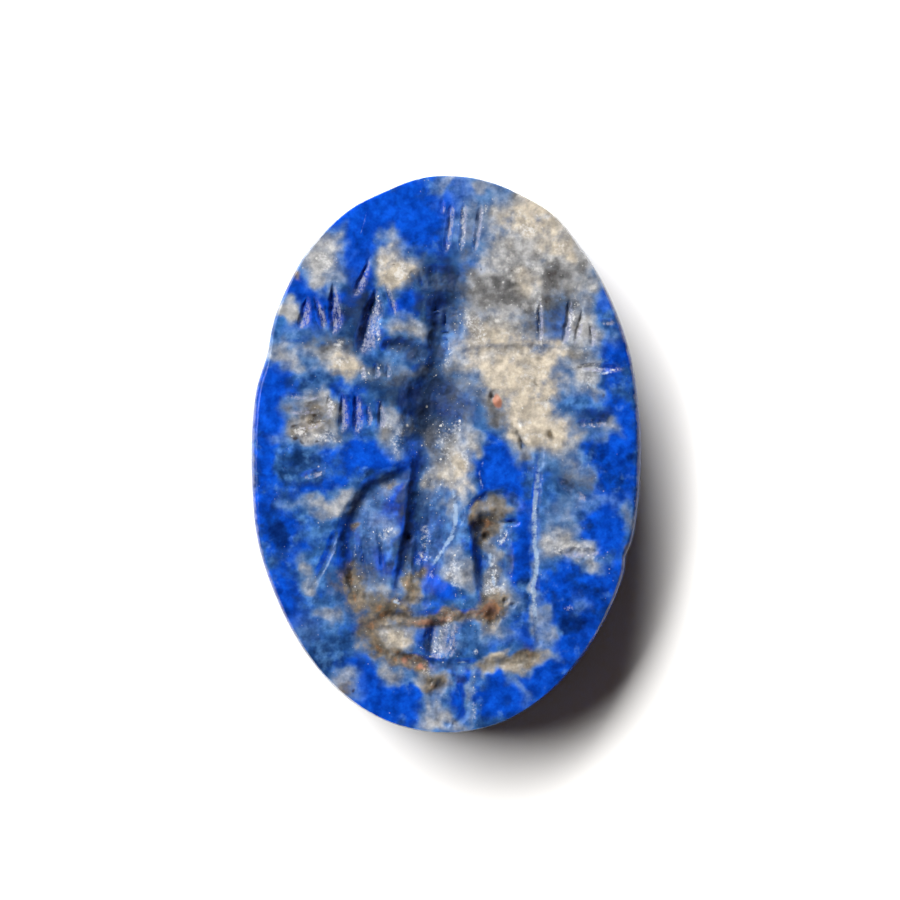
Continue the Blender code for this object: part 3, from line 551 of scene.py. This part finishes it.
# Where the cleavage of the calcite catches the light.
GLITTER_PLACES = (
    (-0.6, -2.68, 0.17, 0.22, 1.0), (-0.76, -3.3, 0.15, 0.17, 1.0), (1.5, -3.75, 0.1, 0.36, 0.9),
    (1.48, -4.34, 0.26, 0.15, 0.9), (1.82, -2.7, 0.07, 0.26, 0.9), (-2.0, -2.55, 0.18, 0.18, 0.8),
    (0.28, 0.85, 0.12, 0.22, 0.8), (0.05, 0.1, 0.18, 0.6, 0.6), (0.75, -0.05, 0.1, 0.26, 0.6),
    (-1.5, 0.5, 0.14, 0.4, 0.7, -25), (-3.38, 3.46, 0.11, 0.16, 0.9), (-3.34, 2.92, 0.16, 0.16, 0.9),
    (-2.7, 2.62, 0.1, 0.32, 0.6, 25), (2.65, 7.18, 0.14, 0.18, 0.9), (3.66, 6.62, 0.16, 0.16, 0.9),
    (3.84, 6.84, 0.08, 0.08, 0.8), (0.8, 4.22, 0.2, 0.26, 0.8), (1.12, 3.86, 0.22, 0.28, 0.8),
    (0.56, 7.88, 0.09, 0.11, 1.0), (0.6, 7.3, 0.06, 0.44, 0.8), (1.2, 7.7, 0.06, 0.36, 0.6, -12),
    (3.0, 4.6, 0.08, 0.5, 0.7), (3.02, 3.6, 0.16, 0.14, 0.9), (2.7, 3.44, 0.12, 0.06, 0.6),
    (4.02, 4.5, 0.07, 0.46, 0.7, -8), (4.3, 4.2, 0.08, 0.34, 0.7, -20), (4.74, 3.9, 0.12, 0.34, 0.7),
    (4.72, 2.66, 0.26, 0.1, 1.0, -6), (5.2, 2.66, 0.22, 0.06, 0.8, 4), (4.62, 2.24, 0.2, 0.09, 0.8, 20),
    (2.6, 2.4, 0.3, 0.3, 0.5), (2.95, 2.75, 0.3, 0.16, 0.5), (-4.55, 0.68, 0.16, 0.1, 0.9),
    (-3.8, 0.6, 0.34, 0.14, 0.9, -8), (-3.72, 1.5, 0.1, 0.26, 0.8), (-4.2, 1.02, 0.1, 0.1, 0.7),
    (-1.52, 6.0, 0.2, 0.3, 0.9), (-1.68, -4.76, 0.1, 0.07, 1.0, -20), (0.3, -3.95, 0.12, 0.5, 0.7),
    (-0.28, -3.92, 0.1, 0.1, 0.8), (0.93, -6.3, 0.1, 0.12, 1.0), (0.0, -5.6, 0.1, 0.3, 0.8),
    (-0.16, -6.2, 0.1, 0.3, 0.8), (0.3, -6.0, 0.08, 0.4, 0.6), (4.2, -3.1, 0.6, 0.12, 0.6),
    (3.7, -3.2, 0.12, 0.1, 0.8), (-0.1, -5.5, 0.12, 0.08, 0.8), (-1.3, -5.9, 0.3, 0.16, 0.5),
    (-3.8, 6.2, 0.26, 0.3, 0.6), (6.15, 1.85, 0.12, 0.05, 0.9), (0.86, -8.1, 0.08, 0.5, 0.5),
    (-0.6, -7.0, 0.16, 0.1, 0.6), (0.1, 3.2, 0.1, 0.3, 0.5), (-2.26, 4.3, 0.12, 0.6, 0.5, 6),
    (2.94, -2.0, 0.07, 1.2, 0.5), (2.9, -4.6, 0.08, 0.6, 0.5), (3.9, -4.9, 0.1, 0.1, 0.6),
)

# White veins and scratches that run over the blue.
WHITE_LINES = (
    (((0.12, -0.9), (0.28, -1.45), (0.33, -2.1), (0.18, -2.6), (-0.08, -3.05), (-0.56, -3.76)), 0.22, 1.0),
    (((3.02, 0.2), (2.9, -1.0), (2.85, -2.4), (2.93, -3.5), (2.84, -4.5), (2.98, -6.2)), 0.24, 1.0),
    (((1.24, -0.15), (1.1, -0.7), (1.24, -1.25)), 0.12, 0.7),
    (((1.4, -3.1), (1.46, -3.8), (1.6, -4.4)), 0.2, 0.9), (((1.74, -2.35), (1.8, -2.95)), 0.14, 0.8),
    (((-3.42, -2.5), (-3.8, -3.6), (-4.2, -4.25)), 0.13, 0.6),
    (((-2.5, 8.0), (-2.6, 7.6), (-2.76, 7.0)), 0.07, 0.5),
    (((4.45, 2.74), (4.85, 2.58), (5.45, 2.66)), 0.14, 0.9), (((4.45, 2.3), (4.85, 2.1)), 0.2, 0.7),
    (((0.56, 7.98), (0.56, 7.78)), 0.18, 1.0), (((-2.92, -2.9), (-2.98, -3.4)), 0.08, 0.8),
    (((0.3, -6.74), (0.75, -6.72)), 0.08, 0.8), (((-1.75, -4.72), (-1.5, -4.82)), 0.13, 0.9),
    (((0.95, -6.2), (0.92, -6.42)), 0.18, 0.9), (((0.55, -1.6), (0.62, -2.05), (0.4, -2.4)), 0.1, 0.6),
    (((4.55, -0.2), (4.62, -0.8)), 0.12, 0.4),
)


def gem_point_values(x, y, z):
    """What the finish reads at each point: clouds, blue, stains, how deep and how ground it is."""
    below = THICKNESS - z
    under = np.clip(below - 0.6, 0, None)
    drift_x = x + 0.15 * below + 0.5 * under + 0.4 * tone(x, y, 1.1, 21, z) + 0.26 * tone(x, y, 0.5, 22, z)
    drift_y = y - 0.25 * below - 0.9 * under + 0.4 * tone(x, y, 1.1, 24, z) + 0.26 * tone(x, y, 0.5, 25, z)
    drift_x += 0.14 * tone(x, y, 0.22, 23, z)
    drift_y += 0.14 * tone(x, y, 0.22, 26, z)
    near_x = (drift_x + 4 * x) / 5
    near_y = (drift_y + 4 * y) / 5
    mid_x = (drift_x + near_x) / 2
    mid_y = (drift_y + near_y) / 2
    radius = np.hypot(x, y)
    angle = np.arctan2(y, x)
    on_face = (radius < outline_radius(angle) - 0.02) & (z > 1.5)
    cut = engraved_depth(x, y) * on_face
    # The walls that fall away from the light at the upper left lie in shade; their colour is painted with
    # that shade below.
    step_x = 0.05
    step_y = -0.04
    fall = engraved_depth(x + step_x, y + step_y) - engraved_depth(x - step_x, y - step_y)
    shaded_wall = np.clip(fall / 0.07, 0, 1) * on_face
    strokes = headdress() + side_strokes() + footing()[1:4]
    ground, toward, away = (np.zeros_like(x) for _ in range(3))
    for stroke in strokes:
        ground = np.maximum(ground, depth_of(stroke, x, y) / stroke.depth * on_face)
        toward = np.maximum(toward, depth_of(stroke, x - step_x, y - step_y))
        away = np.maximum(away, depth_of(stroke, x + step_x, y + step_y))
    lit_wall = np.clip((toward - away) / 0.05, 0, 1) * on_face
    calcite = cloudy(drift_x, drift_y, CALCITE_CLOUDS)
    white = np.zeros_like(x)
    for path, width, strength in WHITE_LINES:
        line = depth_of(groove(path, width, strength, run=0.6), (near_x + x) / 2, (near_y + y) / 2)
        white = np.maximum(white, line * on_face)
    face_edge = outline_radius(angle) - bevel_width(angle)
    rim = np.clip((radius - face_edge) / 0.04 + 0.5, 0, 1) * np.clip((z - 2.7) / 0.15, 0, 1)
    rim *= np.clip(1.6 - np.abs(y + np.where(x > 0, 0.5, 1.2)) / np.where(x > 0, 6.0, 4.4), 0, 1)
    return {
        # Painted shade and light on the walls in shade: less calcite there, and the blue purer and
        # brighter.
        "calcite": calcite * (1 - 0.15 * shaded_wall),
        "cream": cloudy(drift_x, drift_y, CREAM_PLACES),
        "deep_blue_and_wall_shade": np.maximum(cloudy(drift_x, drift_y, DEEP_PLACES), 0.45 * shaded_wall * (1 - calcite)),
        "bright_blue_and_wall_light": np.maximum(cloudy(drift_x, drift_y, BRIGHT_PLACES), 0.7 * shaded_wall),
        "slate_and_hollow_shade": cloudy(drift_x, drift_y, SLATE_PLACES),
        "earth": cloudy(mid_x, mid_y, EARTH_PLACES) * np.where(z > 1.5, 1.0, 0.5),
        "white_line": white,
        "glitter": np.sqrt(cloudy(mid_x, mid_y, GLITTER_PLACES)) * on_face,
        "dark_mark": cloudy(mid_x, mid_y, DARK_MARKS) * on_face,
        "salmon": cloudy(near_x, near_y, SALMON_GRAINS) * on_face,
        # Painted highlight: the frosting is laid on strongest on the walls that face the light.
        "ground": np.clip(ground * 3.0, 0, 1) * (0.34 + 0.66 * lit_wall),
        "hollow": np.clip(cut / 0.6, 0, 1),
        "rim": rim,
    }


def rim_wear(angle):
    """Small chips and rubbed spots along the rim of the face."""
    x = 6.0 * np.cos(angle)
    y = 9.0 * np.sin(angle)
    return 0.012 * (1 + tone(x, y, 0.5, 31)) + 0.05 * np.clip(tone(x, y, 0.28, 32) - 0.35, 0, 1)


def make_gem_mesh():
    """A square grid drawn out to the oval face and cut, with the edge extruded down from its rim."""
    shape = bmesh.new()
    bmesh.ops.create_grid(shape, x_segments=246, y_segments=318, size=1.0)
    places = np.array([vert.co[:] for vert in shape.verts])
    u, v = places[:, 0], places[:, 1]
    disc_x = u * np.sqrt(1 - v**2 / 2)
    disc_y = v * np.sqrt(1 - u**2 / 2)
    x = disc_x * WIDTH / 2
    y = disc_y * LENGTH / 2
    angle = np.arctan2(y, x)
    ellipse = 1 / np.hypot(np.cos(angle) / (WIDTH / 2), np.sin(angle) / (LENGTH / 2))
    rim_radius = outline_radius(angle) - bevel_width(angle) - rim_wear(angle)
    stretch = 1 + (rim_radius / ellipse - 1) * (disc_x**2 + disc_y**2)
    x = x * stretch
    y = y * stretch
    for vert, *place in zip(shape.verts, x, y, THICKNESS - hand_cut(x, y)):
        vert.co = place
    rim = [edge for edge in shape.edges if edge.is_boundary]
    for level in (0.0, 0.25, 0.5, 0.75, 1.0, 1.15, 1.3, 1.45, 1.6, 1.75, 1.9, 2.0, 2.5, 3.0):
        extruded = bmesh.ops.extrude_edge_only(shape, edges=rim)["geom"]
        rim = [item for item in extruded if isinstance(item, bmesh.types.BMEdge) and item.is_boundary]
        ring = list({vert for edge in rim for vert in edge.verts})
        angle = np.array([math.atan2(vert.co.y, vert.co.x) for vert in ring])
        upper_radius, upper_height = edge_rings(angle)[int(level)]
        lower_radius, lower_height = edge_rings(angle)[math.ceil(level)]
        radius = upper_radius + (lower_radius - upper_radius) * (level % 1)
        height = upper_height + (lower_height - upper_height) * (level % 1)
        radius = radius - rim_wear(angle) * max(1 - level, 0)
        x = radius * np.cos(angle)
        y = radius * np.sin(angle)
        z = np.minimum(height, THICKNESS - engraved_depth(x, y))
        for vert, *place in zip(ring, x, y, z):
            vert.co = place
    bmesh.ops.edgeloop_fill(shape, edges=rim)
    bmesh.ops.scale(shape, vec=(MM, MM, MM), verts=shape.verts)
    bmesh.ops.recalc_face_normals(shape, faces=shape.faces)
    mesh = bpy.data.meshes.new("carved_gem")
    shape.to_mesh(mesh)
    shape.free()
    mesh.shade_smooth()
    mesh.set_sharp_from_angle(angle=math.radians(50))
    return mesh


def keep_point_values(mesh):
    """Stores what the finish reads on the points of the mesh."""
    flat = np.empty(len(mesh.vertices) * 3)
    mesh.vertices.foreach_get("co", flat)
    x, y, z = (flat.reshape(-1, 3) / MM).T
    for name, values in gem_point_values(x, y, z).items():
        mesh.attributes.new(name, "FLOAT", "POINT").data.foreach_set("value", values)


class Finish:
    """Lays the stone's colours over one another in its material."""

    def __init__(self, name):
        self.material = bpy.data.materials.new(name)
        self.material.use_nodes = True
        self.tree = self.material.node_tree
        self.shader = self.tree.nodes["Principled BSDF"]
        place = self.node("TexCoord").outputs["Object"]
        in_mm = self.node("Mapping", {"Vector": place, "Scale": (1000.0, 1000.0, 1000.0)})
        self.place = in_mm.outputs["Vector"]

    def link(self, value, socket):
        if hasattr(value, "is_linked"):
            self.tree.links.new(value, socket)
        else:
            socket.default_value = (*value, 1.0) if socket.type == "RGBA" else value

    def node(self, kind, values=None):
        """A new node, its sockets linked or set by name."""
        node = self.tree.nodes.new("ShaderNode" + kind)
        for name, value in (values or {}).items():
            self.link(value, node.inputs[name])
        return node

    def read(self, name):
        node = self.node("Attribute")
        node.attribute_name = name
        return node.outputs["Fac"]

    def sums(self, operation, *values):
        node = self.node("Math")
        node.operation = operation
        for value, socket in zip(values, node.inputs):
            self.link(value, socket)
        return node.outputs["Value"]

    def scaled(self, value, factor, base):
        """The value times the factor, plus the base."""
        return self.sums("MULTIPLY_ADD", value, factor, base)

    def lumps(self, per_mm, shift=0.0, detail=3.0, roughness=0.6, along=1.0):
        """Uneven tone from -0.5 to 0.5, drawn out up the stone where along is below 1."""
        moved = self.node("Mapping", {"Vector": self.place, "Scale": (1.0, along, 1.0)})
        moved.inputs["Location"].default_value = (shift, shift * 0.7, shift * 1.3)
        node = self.node("TexNoise", {"Scale": per_mm, "Detail": detail, "Roughness": roughness})
        self.link(moved.outputs["Vector"], node.inputs["Vector"])
        return self.sums("SUBTRACT", node.outputs["Fac"], 0.5)

    def broken(self, name, *tones):
        """A value of the mesh made uneven by (tone, strength) pairs: it stays 0 where it was 0."""
        share = 1.0
        for tone_value, strength in tones:
            share = self.scaled(tone_value, strength, share)
        return self.sums("MULTIPLY", self.read(name), share)

    def mottle(self, under, tone_value, darker, lighter):
        """Darkens and lightens a colour between the two factors given for each of its channels."""
        factor = self.over(darker, lighter, self.step(tone_value, -0.22, 0.22))
        return self.over(under, factor, 1.0, "MULTIPLY")

    def grains(self, per_mm):
        return self.node("TexVoronoi", {"Vector": self.place, "Scale": per_mm})

    def step(self, value, low, high, top=1.0):
        """0 below low, top above high, smooth between."""
        node = self.node("MapRange", {"Value": value, "From Min": low, "From Max": high, "To Max": top})
        node.interpolation_type = "SMOOTHSTEP"
        return node.outputs["Result"]

    def over(self, under, upper, share, how="MIX"):
        node = self.node("Mix")
        node.data_type = "RGBA"
        node.blend_type = how
        self.link(share, node.inputs["Factor"])
        self.link(under, node.inputs[6])
        self.link(upper, node.inputs[7])
        return node.outputs[2]


def lapis_finish():
    stone = Finish("carved_lapis")
    broad = stone.lumps(0.8, detail=2.0, roughness=0.5)
    middling = stone.lumps(1.9, 3.0, roughness=0.55)
    medium = stone.lumps(3.0, 47.0, detail=2.0, roughness=0.55)
    small = stone.lumps(4.6, 7.0)
    fine = stone.lumps(12.0, 11.0, roughness=0.65)
    streaks = stone.lumps(9.0, 13.0, roughness=0.7, along=0.35)

    cobalt = (0.0012, 0.034, 0.285)
    mid_blue = (0.013, 0.058, 0.19)
    navy = (0.0015, 0.01, 0.06)
    azure = (0.047, 0.134, 0.322)
    blue_grey = (0.088, 0.13, 0.2)
    slate_and_hollow_shade = (0.01, 0.018, 0.036)
    charcoal = (0.048, 0.048, 0.05)
    dull_grey = (0.125, 0.126, 0.128)
    cool_grey = (0.262, 0.268, 0.276)
    cream = (0.375, 0.335, 0.27)
    white = (0.405, 0.405, 0.4)
    lilac = (0.185, 0.19, 0.265)
    olive = (0.07, 0.06, 0.045)
    ochre = (0.142, 0.112, 0.078)
    rust = (0.165, 0.076, 0.026)
    salmon = (0.3, 0.13, 0.085)
    black_brown = (0.022, 0.015, 0.012)
    rim_haze = (0.19, 0.205, 0.3)
    vein_blue = (0.225, 0.31, 0.435)
    glitter_highlight = (0.48, 0.485, 0.5)
    hollow_shade = (0.74, 0.77, 0.82)

    # The blue: cobalt where pure, greyer where not, sinking to navy and clearing to azure. On the walls
    # that lie in shade, painted shade and light make it a purer, lighter blue.
    purity = stone.scaled(middling, 1.5, stone.read("deep_blue_and_wall_shade"))
    blue = stone.over(mid_blue, cobalt, stone.step(purity, -0.12, 0.6))
    sunk = stone.scaled(broad, 0.8, stone.lumps(1.4, 31.0))
    sunk = stone.scaled(stone.read("bright_blue_and_wall_light"), -0.34, sunk)
    blue = stone.over(blue, navy, stone.step(sunk, 0.0, 0.24, 0.75))
    clear = stone.scaled(stone.read("deep_blue_and_wall_shade"), -0.16, stone.lumps(2.2, 41.0))
    clear = stone.scaled(stone.read("bright_blue_and_wall_light"), -0.12, clear)
    blue = stone.over(blue, azure, stone.step(clear, -0.06, 0.22, 0.75))
    brightness = stone.scaled(stone.read("bright_blue_and_wall_light"), 0.19, middling)
    blue = stone.mottle(blue, brightness, (0.55, 0.6, 0.66), (1.4, 1.4, 1.3))

    # Round the calcite the blue turns hazy; SLATE_PLACES darken it, dark grains under the surface and
    # painted shade in the hollows of the figure.
    cloud = stone.broken("calcite", (broad, 0.8), (middling, 1.2), (small, 0.4))
    murk = stone.broken("slate_and_hollow_shade", (middling, 2.2), (small, 1.6))
    blue = stone.over(blue, azure, stone.step(cloud, 0.05, 0.42, 0.65))
    blue = stone.over(blue, blue_grey, stone.step(cloud, 0.16, 0.6, 0.62))
    blue = stone.over(blue, slate_and_hollow_shade, stone.step(murk, 0.1, 0.95, 0.8))
    blue = stone.mottle(blue, medium, (0.6, 0.66, 0.74), (1.4, 1.3, 1.2))
    blue = stone.mottle(blue, small, (0.8, 0.84, 0.87), (1.24, 1.18, 1.13))
    blue = stone.mottle(blue, fine, (0.92, 0.94, 0.95), (1.09, 1.07, 1.06))

    # The calcite: cream or grey, with whiter knots and charcoal inside where SLATE_PLACES reach, dark
    # grains and painted shade in the hollows.
    chalk = stone.scaled(stone.read("bright_blue_and_wall_light"), 0.22, stone.lumps(1.7, 17.0))
    chalk = stone.over(dull_grey, cool_grey, stone.step(chalk, -0.18, 0.1))
    warm = stone.broken("cream", (middling, 1.5), (small, 0.4))
    chalk = stone.over(chalk, cream, stone.step(warm, 0.15, 0.75, 0.85))
    knots = stone.lumps(3.0, 77.0)
    chalk = stone.over(chalk, white, stone.step(knots, 0.04, 0.26, 0.85))
    veil = stone.lumps(1.2, 57.0, detail=2.0, roughness=0.5)
    chalk = stone.over(chalk, blue_grey, stone.step(veil, 0.04, 0.3, 0.45))
    chalk = stone.over(chalk, charcoal, stone.step(murk, 0.2, 1.05, 0.82))
    chalk = stone.mottle(chalk, medium, (0.7, 0.7, 0.71), (1.22, 1.21, 1.2))
    chalk = stone.mottle(chalk, small, (0.85, 0.85, 0.86), (1.15, 1.14, 1.13))
    chalk = stone.mottle(chalk, fine, (0.9, 0.9, 0.9), (1.09, 1.09, 1.09))
    colour = stone.over(blue, chalk, stone.step(cloud, 0.26, 0.92))

    # The walls of the strokes are frosted by the wheel, the frosting painted strongest on the lit walls as
    # a highlight, and earth is caught in the lower cuts.
    frost_and_lit_highlight = stone.broken("ground", (streaks, 5.0), (fine, 4.0))
    colour = stone.over(colour, lilac, stone.step(frost_and_lit_highlight, 0.25, 1.5, 0.72))
    soil = stone.broken("earth", (middling, 1.8), (small, 1.1))
    dirt = stone.over(olive, ochre, stone.step(stone.lumps(2.4, 23.0), -0.12, 0.16))
    dirt = stone.over(dirt, rust, stone.step(soil, 0.78, 1.15, 0.85))
    dirt = stone.mottle(dirt, medium, (0.66, 0.66, 0.66), (1.3, 1.3, 1.3))
    dirt = stone.mottle(dirt, small, (0.75, 0.75, 0.75), (1.25, 1.25, 1.25))
    colour = stone.over(colour, dirt, stone.step(soil, 0.12, 0.8, 0.92))

    # Veins, scratches, painted glitter highlights, the salmon grain, dark marks, the rubbed rim and painted
    # shade in the hollows.
    vein = stone.broken("white_line", (medium, 3.0), (small, 2.6), (fine, 1.5))
    colour = stone.over(colour, vein_blue, stone.step(vein, 0.15, 1.15, 0.78))
    sparkle = stone.broken("glitter", (small, 3.0), (fine, 4.0))
    colour = stone.over(colour, glitter_highlight, stone.step(sparkle, 0.45, 1.7, 0.66))
    colour = stone.over(colour, salmon, stone.step(stone.read("salmon"), 0.35, 0.75, 0.9))
    spots = stone.broken("dark_mark", (small, 1.0))
    colour = stone.over(colour, black_brown, stone.step(spots, 0.25, 0.9, 0.8))
    edge = stone.broken("rim", (small, 2.0))
    colour = stone.over(colour, rim_haze, stone.step(edge, 0.35, 1.05, 0.6))
    # Painted shade: the colour is darkened the deeper the hollow.
    deep = stone.step(stone.read("hollow"), 0.0, 0.6)
    colour = stone.over(colour, hollow_shade, deep, "MULTIPLY")

    # Painted glints: white specks in the colour stand for small cleavage faces catching the light, most
    # where the stone is ground or full of calcite.
    more = stone.scaled(stone.read("ground"), 1.8, stone.read("calcite"))
    more = stone.scaled(stone.read("hollow"), 2.2, more)
    more = stone.scaled(stone.read("glitter"), 5.0, more)
    more = stone.scaled(stone.read("deep_blue_and_wall_shade"), -0.8, more)
    more = stone.scaled(stone.lumps(1.2, 67.0, detail=2.0, roughness=0.5), 3.5, more)
    for per_mm, commonness, strength in ((6.5, 1.02, 0.9), (10.0, 0.98, 0.6), (16.0, 0.945, 0.45)):
        speck = stone.grains(per_mm)
        rare = stone.node("SeparateColor", {"Color": speck.outputs["Color"]})
        chance = stone.scaled(more, 0.08, rare.outputs["Red"])
        size = stone.scaled(rare.outputs["Green"], 0.24, 0.08)
        size = stone.scaled(fine, 0.8, size)
        lit = stone.sums("SUBTRACT", size, speck.outputs["Distance"])
        chosen = stone.step(chance, commonness, commonness + 0.03, strength)
        colour = stone.over(colour, white, stone.sums("MULTIPLY", stone.step(lit, 0.0, 0.16), chosen))
    stone.link(colour, stone.shader.inputs["Base Color"])

    worked = stone.sums("ADD", stone.read("ground"), stone.read("hollow"))
    matt = stone.step(worked, 0.0, 0.15, 0.42)
    gloss = stone.scaled(small, 0.3, stone.sums("ADD", matt, 0.17))
    stone.link(gloss, stone.shader.inputs["Roughness"])

    facets = stone.grains(9.0)
    rough = stone.step(worked, 0.0, 0.25, 0.9)
    grain = stone.sums("MULTIPLY", stone.sums("ADD", rough, 0.1), facets.outputs["Distance"])
    grain = stone.scaled(fine, 0.5, grain)
    bump = stone.node("Bump", {"Strength": 0.6, "Distance": 0.00002, "Height": grain})
    stone.link(bump.outputs["Normal"], stone.shader.inputs["Normal"])
    stone.shader.inputs["Specular IOR Level"].default_value = 0.12
    stone.shader.inputs["Subsurface Weight"].default_value = 0.65
    stone.shader.inputs["Subsurface Radius"].default_value = (1.0, 1.0, 1.0)
    stone.shader.inputs["Subsurface Scale"].default_value = 0.00034
    return stone.material


def show(name, data):
    piece = bpy.data.objects.new(name, data)
    bpy.context.scene.collection.objects.link(piece)
    return piece


gem_mesh = make_gem_mesh()
keep_point_values(gem_mesh)
gem_mesh.materials.append(lapis_finish())
gem = show("carved_gem", gem_mesh)
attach(gem, "root")
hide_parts("engraved_gem")

# ------------------------------
# The floor: a plain white board, wide enough to fill every view.
# ------------------------------
board_shape = bmesh.new()
bmesh.ops.create_grid(board_shape, x_segments=1, y_segments=1, size=0.6)
board_mesh = bpy.data.meshes.new("white_board")
board_shape.to_mesh(board_mesh)
board_shape.free()
board_finish = bpy.data.materials.new("white_board")
board_finish.use_nodes = True
board_shader = board_finish.node_tree.nodes["Principled BSDF"]
board_shader.inputs["Base Color"].default_value = (0.9, 0.9, 0.9, 1.0)
board_shader.inputs["Roughness"].default_value = 0.9
board_mesh.materials.append(board_finish)
board = show("white_board", board_mesh)

# ------------------------------
# The light: one soft box high at the upper left, and a weak warm glow from all round.
# ------------------------------
toward_light = Vector((-0.47, 0.56, 0.69)).normalized()
box_roll = math.radians(18)
box_distance = 0.4
soft_box = bpy.data.lights.new("soft_box", "AREA")
soft_box.shape = "RECTANGLE"
soft_box.size = 0.55
soft_box.size_y = 0.2
soft_box.energy = 6.25
soft_box.color = (1.0, 0.99, 0.97)
soft_box_stand = show("soft_box", soft_box)
soft_box_stand.location = toward_light * box_distance
box_turn = toward_light.to_track_quat("Z", "Y") @ Quaternion((0.0, 0.0, 1.0), box_roll)
soft_box_stand.rotation_euler = box_turn.to_euler()

glow = bpy.data.worlds.new("glow")
glow.use_nodes = True
glow_inputs = glow.node_tree.nodes["Background"].inputs
glow_inputs["Color"].default_value = (1.0, 0.7, 0.49, 1.0)
glow_inputs["Strength"].default_value = 0.052
bpy.context.scene.world = glow
bpy.context.scene.view_settings.view_transform = "Standard"

# ------------------------------
# The camera: straight above the stone, on a long lens.
# ------------------------------
lens = 180.0
film = 36.0
width_seen = 0.02906
above = width_seen * lens / film
camera = bpy.data.cameras.new("camera")
camera.lens = lens
camera.sensor_width = film
camera.clip_start = 0.001
camera_stand = show("camera", camera)
camera_stand.location = (0.00013, 0.00013, GIRDLE_HEIGHT * MM + above)
bpy.context.scene.camera = camera_stand
